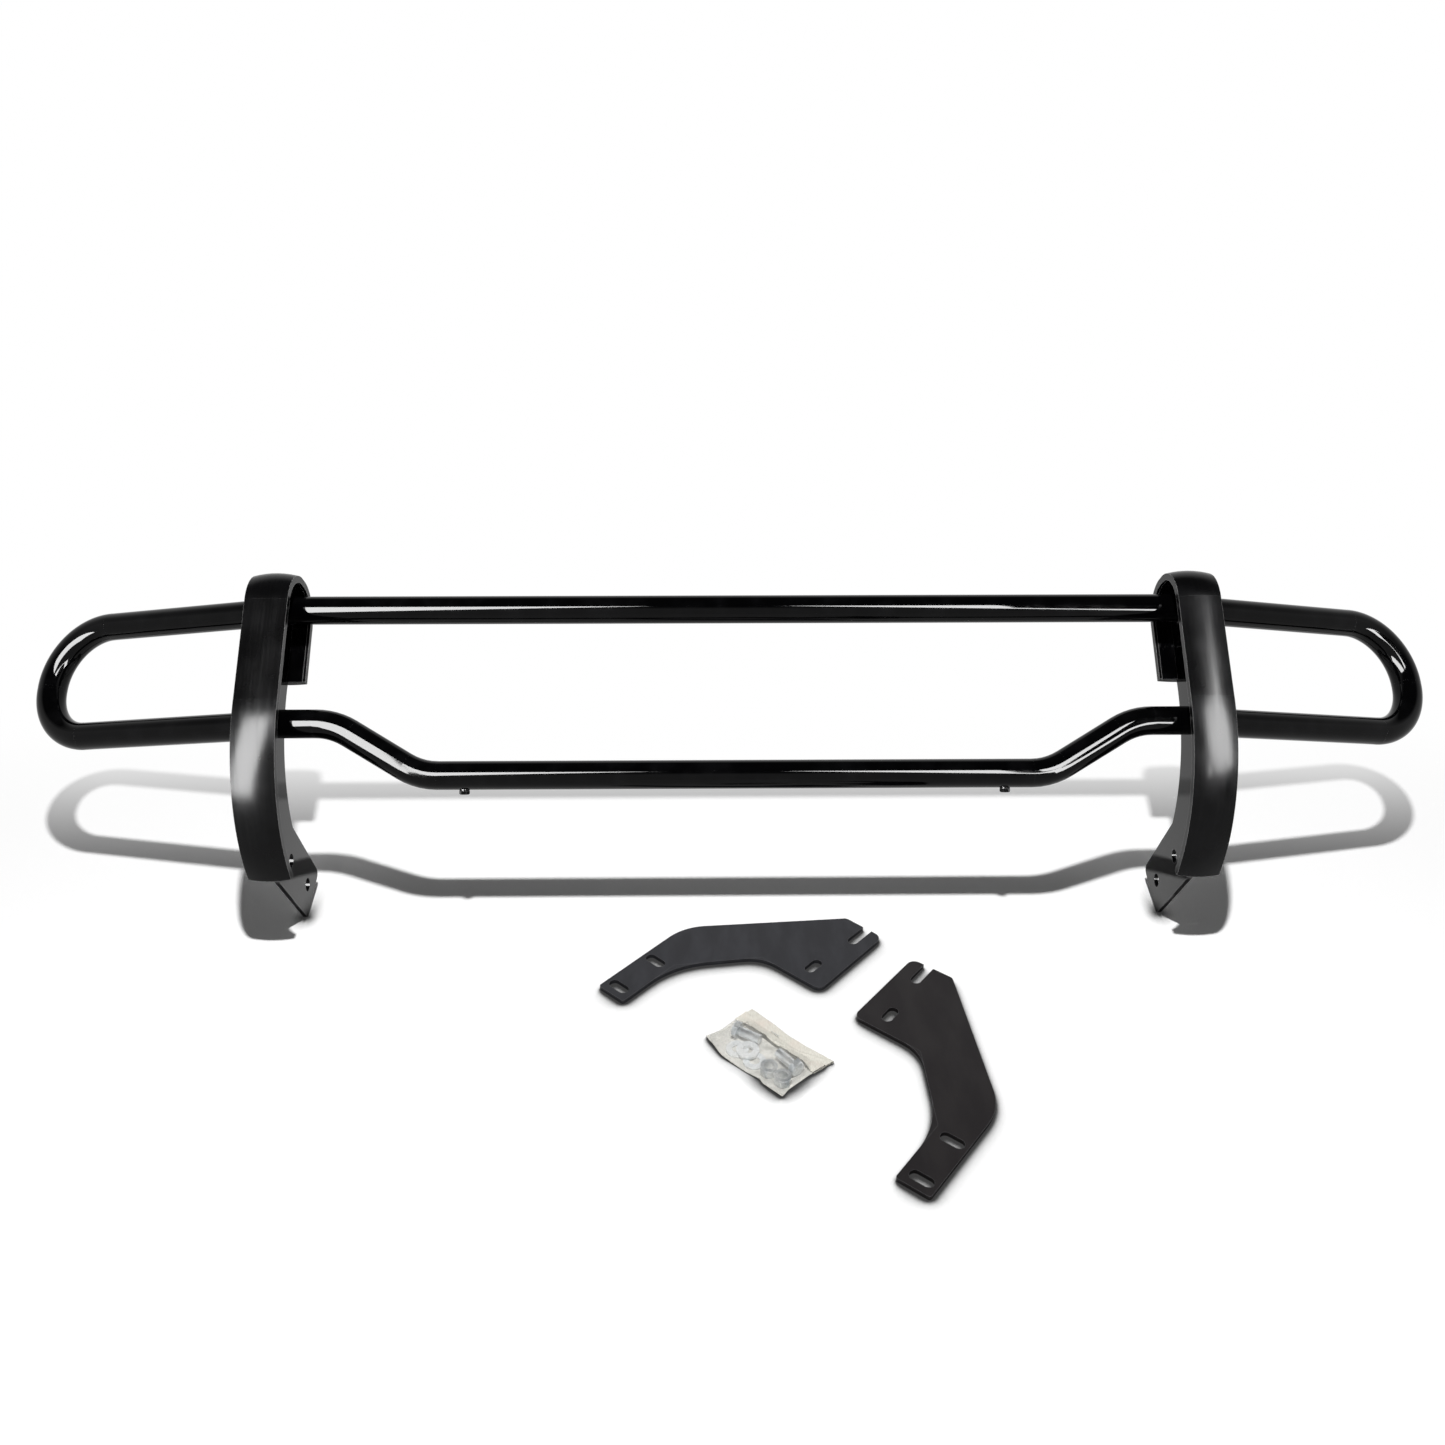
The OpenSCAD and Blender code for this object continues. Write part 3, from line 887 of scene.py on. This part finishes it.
@dataclass
class FastenerBag:
    """The bag of fasteners: two films sealed on three sides and a paper header over the fourth.

    Its own axes run along the bag (u) and across it towards the header (v), from its middle. Places
    on a sheet also run from 0 to 1 along it (s) and across it (t).
    """

    body: str = "fastener_bag"
    middle: Pair = (30.3, -106.7)
    turn: float = -45.3
    near_edge: WavyEdge = (
        (-64, -28), (-50, -31.5), (-26, -37), (3, -36), (25, -33.5), (33, -36), (55, -36)
    )
    far_edge: WavyEdge = ((-56, 35), (-30, 34.5), (0, 32.5), (22, 32.5), (40, 34.5), (60, 37))
    left_edge: WavyEdge = ((-36, -61), (-26, -60), (-8, -56), (8, -56), (34, -55))
    right_edge: WavyEdge = ((-36, 55), (-24, 52.5), (0, 54), (30, 58), (42, 61))
    length: float = 118.0
    width: float = 64.0
    hem: float = 3.5
    seal_height: float = 1.0
    film_thick: float = 0.14
    film_stops: float = 27.0
    film_clearance: float = 0.25
    settle_rounds: int = 700
    loose_height: float = 3.0
    loose_least: float = 0.12
    floor_gap: float = 0.25
    lower_curl: float = 0.9
    grid: tuple[int, int] = (150, 96)
    smooth_angle: float = 50.0
    curl: Curl = Curl()
    wrinkles: tuple[Wrinkles, ...] = (Wrinkles(0.9, 9.0, 1.7), Wrinkles(0.45, 4.2, 6.1))
    header: HeaderFold = HeaderFold()
    staple: Staple = Staple()
    lumps: tuple[Lump, ...] = (
        Lump(Section.HEXAGON, (-42.0, -5.0), (-35.8, -3.6), 9.24, 16.6),
        Lump(Section.ROUND, (-35.8, -3.6), (-11.4, 2.1), 5.0, 13.6),
        Lump(Section.HEXAGON, (46.0, -1.6), (39.6, -0.9), 9.24, 16.6),
        Lump(Section.ROUND, (39.6, -0.9), (14.8, 1.7), 5.0, 13.6),
        Lump(Section.FLAT, (22.5, -20.5), (22.5, -20.5), 9.1, 11.5),
        Lump(Section.FLAT, (41.5, -20.5), (41.5, -20.5), 9.1, 11.5),
        Lump(Section.FLAT, (-23.5, -19.5), (-23.5, -19.5), 12.0, 2.6),
        Lump(Section.FLAT, (1.0, -19.2), (1.0, -19.2), 12.0, 2.6),
        Lump(Section.FLAT, (-12.4, -15.3), (-12.4, -15.3), 12.3, 6.7),
    )

    def to_floor(self, u: np.ndarray, v: np.ndarray, z: np.ndarray) -> np.ndarray:
        """Lays places in the bag's own axes on the floor.

        Args:
            u: places along the bag.
            v: places across the bag.
            z: heights.

        Returns:
            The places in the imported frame, in metres, one a row.
        """
        c, s = math.cos(math.radians(self.turn)), math.sin(math.radians(self.turn))
        x = self.middle[0] + c * u - s * v
        y = self.middle[1] + s * u + c * v
        return np.stack([x, y, z], axis=-1).reshape(-1, 3) * MM

    def edge_at(self, edge: WavyEdge, s: np.ndarray) -> np.ndarray:
        """Says how far across the bag its near or far edge is, at places along the sheet."""
        return eased(edge, -self.length / 2 + self.length * s)

    def along(self, s: np.ndarray, v: np.ndarray) -> np.ndarray:
        """Says how far along the bag places on the sheet are, evenly between its wavy ends."""
        left, right = eased(self.left_edge, v), eased(self.right_edge, v)
        return left + s * (right - left)

    def film_places(self, s: np.ndarray, t: np.ndarray) -> tuple[np.ndarray, np.ndarray]:
        """Fits a film between the bag's wavy edges.

        Args:
            s: places along the sheet.
            t: places across the sheet.

        Returns:
            The places along and across the bag.
        """
        near = self.edge_at(self.near_edge, s)
        v = near + t * (self.film_stops - near)
        return self.along(s, v), v

    def sheet(self, name: str) -> tuple[bpy.types.Object, np.ndarray, np.ndarray]:
        """Adds an even grid to shape.

        Args:
            name: the piece's name.

        Returns:
            The piece, and its vertices' places along and across the sheet.
        """
        select_none()
        bpy.ops.mesh.primitive_grid_add(
            x_subdivisions=self.grid[0], y_subdivisions=self.grid[1], size=1.0
        )
        piece = bpy.context.active_object
        piece.name = piece.data.name = name
        places = np.zeros(3 * len(piece.data.vertices))
        piece.data.vertices.foreach_get("co", places)
        places = places.reshape(-1, 3)
        return piece, places[:, 0] + 0.5, places[:, 1] + 0.5

    def finish_sheet(self, piece: bpy.types.Object, places: np.ndarray, thick: float) -> None:
        """Puts a sheet's vertices in place and gives it its thickness.

        Args:
            piece: the sheet.
            places: its vertices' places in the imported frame, in metres.
            thick: its thickness.
        """
        piece.data.vertices.foreach_set("co", places.astype(np.float32).ravel())
        piece.data.update()
        wall = piece.modifiers.new("wall", "SOLIDIFY")
        wall.thickness = thick * MM
        wall.offset = 0.0
        wall.use_even_offset = True
        bpy.ops.object.modifier_apply(modifier=wall.name)
        bpy.ops.object.shade_smooth_by_angle(angle=math.radians(self.smooth_angle))

    def held_up(self, u: np.ndarray, v: np.ndarray, s: np.ndarray, t: np.ndarray) -> np.ndarray:
        """Lets the upper film settle over the fasteners, as a taut skin does.

        Args:
            u: places along the bag, as a grid.
            v: places across the bag, as a grid.
            s: places along the sheet, as a grid.
            t: places across the sheet, as a grid.

        Returns:
            The film's height over each place.
        """
        floor = np.max([lump.height(u, v) for lump in self.lumps], axis=0)
        floor = np.where(floor > 0.0, floor + self.film_clearance, 0.0)
        from_end = np.minimum(s, 1.0 - s) * self.length
        from_side = np.minimum(t, 1.0 - t) * self.width
        sealed = np.minimum(from_end, from_side) < self.hem
        height = np.maximum(floor, self.seal_height)
        for _ in range(self.settle_rounds):
            beside = height[2:, 1:-1] + height[:-2, 1:-1] + height[1:-1, 2:] + height[1:-1, :-2]
            calm = height.copy()
            calm[1:-1, 1:-1] = beside / 4
            height = np.where(sealed, self.seal_height, np.maximum(calm, floor))
        return height

    def build_upper_film(self) -> tuple[bpy.types.Object, np.ndarray, np.ndarray]:
        """Builds the film that lies over the fasteners, with its wrinkles and curled edges.

        Returns:
            The piece, its heights as a grid, and the grid's places across the bag.
        """
        piece, s, t = self.sheet("bag_film_over")
        u, v = self.film_places(s, t)
        shape = (self.grid[1] + 1, self.grid[0] + 1)
        order = np.lexsort((s, t))
        grid_u, grid_v, grid_s, grid_t = (a[order].reshape(shape) for a in (u, v, s, t))
        height = self.held_up(grid_u, grid_v, grid_s, grid_t)
        loose = np.clip((height - self.seal_height) / self.loose_height, self.loose_least, 1.0)
        crumple = sum(layer.over(grid_u, grid_v) for layer in self.wrinkles)
        heights = height + loose * crumple + self.curl.lift(grid_s, grid_t)
        flat = np.empty_like(s)
        flat[order] = heights.ravel()
        self.finish_sheet(piece, self.to_floor(u, v, flat), self.film_thick)
        return piece, heights, grid_v

    def build_lower_film(self) -> bpy.types.Object:
        """Builds the film that the fasteners lie on.

        Returns:
            The piece.
        """
        piece, s, t = self.sheet("bag_film_under")
        u, v = self.film_places(s, t)
        z = self.floor_gap + self.lower_curl * self.curl.lift(s, t)
        self.finish_sheet(piece, self.to_floor(u, v, z), self.film_thick)
        return piece

    def build_header(self, heights: np.ndarray, grid_v: np.ndarray) -> bpy.types.Object:
        """Builds the header, folded over the bag's open edge and bent over the film's rise.

        Args:
            heights: the upper film's heights, as a grid.
            grid_v: that grid's places across the bag.

        Returns:
            The piece.
        """
        header = self.header
        piece, s, t = self.sheet("folded_header")
        leaf, turn, upper = header.leaf(t), header.turn(t), t > 0.5
        far = self.edge_at(self.far_edge, s)
        low = np.where(upper, header.starts, header.starts + header.lower_leaf_short)
        v = far + (low - far) * leaf + header.fold_reach * np.sin(turn)
        u = self.along(s, v)
        rows, columns = grid_v.shape
        row = np.clip(np.searchsorted(grid_v[:, columns // 2], v), 0, rows - 1)
        column = np.clip(np.round(s * (columns - 1)).astype(int), 0, columns - 1)
        under = np.where(v < self.film_stops, heights[row, column], self.seal_height)
        ridge, flap = header.ridge_and_flap(u, v)
        over = under + header.film_gap + ridge + header.wrinkles.over(u, v)
        bend = 0.5 * (1.0 - np.cos(turn))
        bottom = header.floor_gap + header.floor_rise * leaf
        z = bottom + bend * (over - bottom) + flap * np.where(upper, 1.0, header.flap_lower_share)
        self.finish_sheet(piece, self.to_floor(u, v, z), header.thick)
        return piece

    def build_staple(self, header: bpy.types.Object) -> bpy.types.Object:
        """Builds the staple and presses it into the header.

        Args:
            header: the paper that it sits in.

        Returns:
            The piece.
        """
        staple = self.staple
        at_u, at_v = (np.array([at]) for at in staple.place)
        spot = self.to_floor(at_u, at_v, np.array([0.0]))[0]
        paper = [vertex.co for vertex in header.data.vertices]
        reach = staple.paper_round_it * MM
        top = max(at.z for at in paper if (at.xy - Vector(spot[:2])).length < reach)
        piece = staple.build()
        swing = Matrix.Rotation(math.radians(self.turn), 4, "Z")
        place = Matrix.Translation((spot[0], spot[1], top - staple.wire * MM))
        piece.data.transform(place @ swing)
        bpy.ops.object.shade_smooth_by_angle(angle=math.radians(staple.smooth_angle))
        return piece

    def build(self, shop: PaintShop) -> None:
        """Builds the films, the header and the staple, and finishes the fasteners inside.

        Args:
            shop: where the materials are made.
        """
        under = self.build_lower_film()
        over, heights, grid_v = self.build_upper_film()
        header = self.build_header(heights, grid_v)
        staple = self.build_staple(header)
        parts = (
            (under, SHADED_BACK_FILM, "film", ("bag_lower_film",)),
            (over, FILM, "film", ("bag_upper_film",)),
            (header, PAPER, "header_paper", ("paper_header",)),
            (staple, ZINC, "zinc_plate", ("header_staple",)),
        )
        for piece, finish, slot, nodes in parts:
            shop.coat(piece, finish)
            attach(piece, self.body)
            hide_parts(*nodes)
        for node in ("hex_bolts", "hex_nuts", "lock_washers"):
            shop.coat(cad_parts[node], ZINC)
        # The flat washers get the copy of the zinc with the painted shine
        shop.coat(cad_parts["flat_washers"], ZINC_PAINTED_SHINE)


# The studio


@dataclass(frozen=True)
class Panel:
    """A glowing panel that only gloss shows: its reflections are the light lines and patches."""

    name: str
    corners: tuple[Triple, ...]
    strength: float

    def hang(self, side: Side, lit: bpy.types.Collection) -> None:
        """Hangs the panel on one side of the guard.

        Args:
            side: which side.
            lit: the only pieces that its light reaches.
        """
        select_none()
        bpy.ops.mesh.primitive_plane_add(size=1.0)
        panel = bpy.context.active_object
        panel.name = f"{side.value}_{self.name}"
        for vertex, corner in zip(panel.data.vertices, self.corners):
            vertex.co = (side.sign * corner[0], corner[1], corner[2])
        graph = NodeGraph(panel.name)
        glow = graph.node("Emission", {"Color": WHITE, "Strength": self.strength})
        put_on(panel, graph.finish(glow.outputs["Emission"]))
        panel.visible_camera = False
        panel.visible_diffuse = False
        panel.visible_transmission = False
        panel.visible_volume_scatter = False
        panel.visible_shadow = False
        panel.light_linking.receiver_collection = lit


@dataclass
class Studio:
    """The white floor, the lights and the camera: places in metres and angles in degrees."""

    floor_size: float = 240.0
    key_place: Triple = (-0.029, -0.66, 2.15)
    key_radius: float = 0.035
    key_power: float = 37.2
    ambient: float = 0.07
    ceiling: float = 0.06
    wall_from: float = 0.5
    wall_to: float = 0.72
    eye: Triple = (-0.02799, -1.11303, 0.98094)
    look_down: float = 30.046
    look_right: float = 0.664
    roll: float = 0.107
    lens: float = 32.443
    sensor: float = 36.0
    panel: Panel = Panel(
        "light_panel",
        ((1.8, -3.4, 0.4), (4.1, -3.4, 0.15), (0.24, -1.75, 2.9), (2.3, -1.75, 2.9)),
        90.0,
    )
    strip_panel: Panel = Panel(
        "strip_panel",
        ((1.1, -3.26, 1.09), (2.9, -2.4, 1.09), (0.93, -1.46, 2.8), (1.9, -0.71, 2.8)),
        75.0,
    )
    strip_panel_shows_in: str = "right_cover_strip"

    def lay_floor(self) -> None:
        """Lays the floor."""
        select_none()
        bpy.ops.mesh.primitive_plane_add(size=self.floor_size)
        floor = bpy.context.active_object
        floor.name = "studio_floor"
        put_on(floor, WHITE_FLOOR.make())

    def hang_key(self) -> None:
        """Hangs the key light over the front. Its light doesn't weaken with distance."""
        select_none()
        bpy.ops.object.light_add(type="POINT", location=self.key_place)
        key = bpy.context.active_object
        key.name = "key_light"
        key.visible_glossy = False
        key.data.shadow_soft_size = self.key_radius
        key.data.energy = self.key_power
        key.data.use_nodes = True
        key.data.node_tree.nodes.clear()
        add = partial(add_node, key.data.node_tree)
        even = add("LightFalloff", {"Strength": 1.0}).outputs["Constant"]
        glow = add("Emission", {"Strength": even}).outputs["Emission"]
        add("OutputLight", {"Surface": glow})

    def fill_air(self) -> None:
        """Makes the even light all round, with a white wall near the horizon and a dim ceiling."""
        world = bpy.data.worlds.new("studio_air")
        bpy.context.scene.world = world
        world.use_nodes = True
        world.node_tree.nodes.clear()
        add = partial(add_node, world.node_tree)
        way = add("SeparateXYZ", {"Vector": add("TexCoord").outputs["Generated"]}).outputs["Z"]
        spans = {"Value": way, "From Min": self.wall_from, "From Max": self.wall_to}
        wall = add("MapRange", {**spans, "To Min": 1.0, "To Max": self.ceiling}).outputs["Result"]
        even = add("Background", {"Color": WHITE, "Strength": self.ambient}).outputs["Background"]
        shown = add("Background", {"Color": WHITE, "Strength": wall}).outputs["Background"]
        mixed = add("MixShader", {0: background_rays(add), 1: even, 2: shown})
        add("OutputWorld", {"Surface": mixed.outputs["Shader"]})

    def set_camera(self) -> None:
        """Stands the camera in front of the guard, looking down at it."""
        turn = Matrix.Rotation(math.radians(-self.look_right), 4, "Z")
        tip = Matrix.Rotation(math.radians(90.0 - self.look_down), 4, "X")
        roll = Matrix.Rotation(math.radians(self.roll), 4, "Z")
        select_none()
        bpy.ops.object.camera_add(location=self.eye)
        camera = bpy.context.active_object
        camera.name = "front_camera"
        camera.matrix_world = Matrix.Translation(self.eye) @ turn @ tip @ roll
        camera.data.sensor_width = self.sensor
        camera.data.lens = self.lens
        camera.data.clip_end = 2.0 * self.floor_size
        bpy.context.scene.camera = camera
        bpy.context.scene.view_settings.view_transform = "Standard"

    @staticmethod
    def lit_only(name: str, pieces: list[bpy.types.Object]) -> bpy.types.Collection:
        """Collects the pieces that a panel's light reaches.

        Args:
            name: the collection's name.
            pieces: the pieces.

        Returns:
            The collection.
        """
        lit = bpy.data.collections.new(name)
        for piece in pieces:
            lit.objects.link(piece)
        return lit

    def build(self, glossy: dict[str, bpy.types.Object]) -> None:
        """Sets up the whole studio.

        The right cover strip has a steeper panel of its own, so its light patch reaches further up.

        Args:
            glossy: the pieces whose gloss the light panels show in, by node.
        """
        self.set_camera()
        self.lay_floor()
        self.fill_air()
        self.hang_key()
        strip = glossy[self.strip_panel_shows_in]
        others = [piece for piece in glossy.values() if piece is not strip]
        self.panel.hang(Side.LEFT, self.lit_only("glossy_pieces", [*others, strip]))
        self.panel.hang(Side.RIGHT, self.lit_only("glossy_other_pieces", others))
        self.strip_panel.hang(Side.RIGHT, self.lit_only("glossy_strip", [strip]))


def main() -> None:
    """Builds the studio, the guard, the brackets and the bag, in that order."""
    logging.basicConfig(level=logging.INFO, format="%(name)s %(message)s")
    shop = PaintShop()
    guard = WeldedGuard()
    Studio().build({node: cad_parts[node] for node in guard.finishes()})
    guard.dress(shop)
    LooseBrackets().dress(shop)
    FastenerBag().build(shop)


if __name__ == "__main__":
    main()
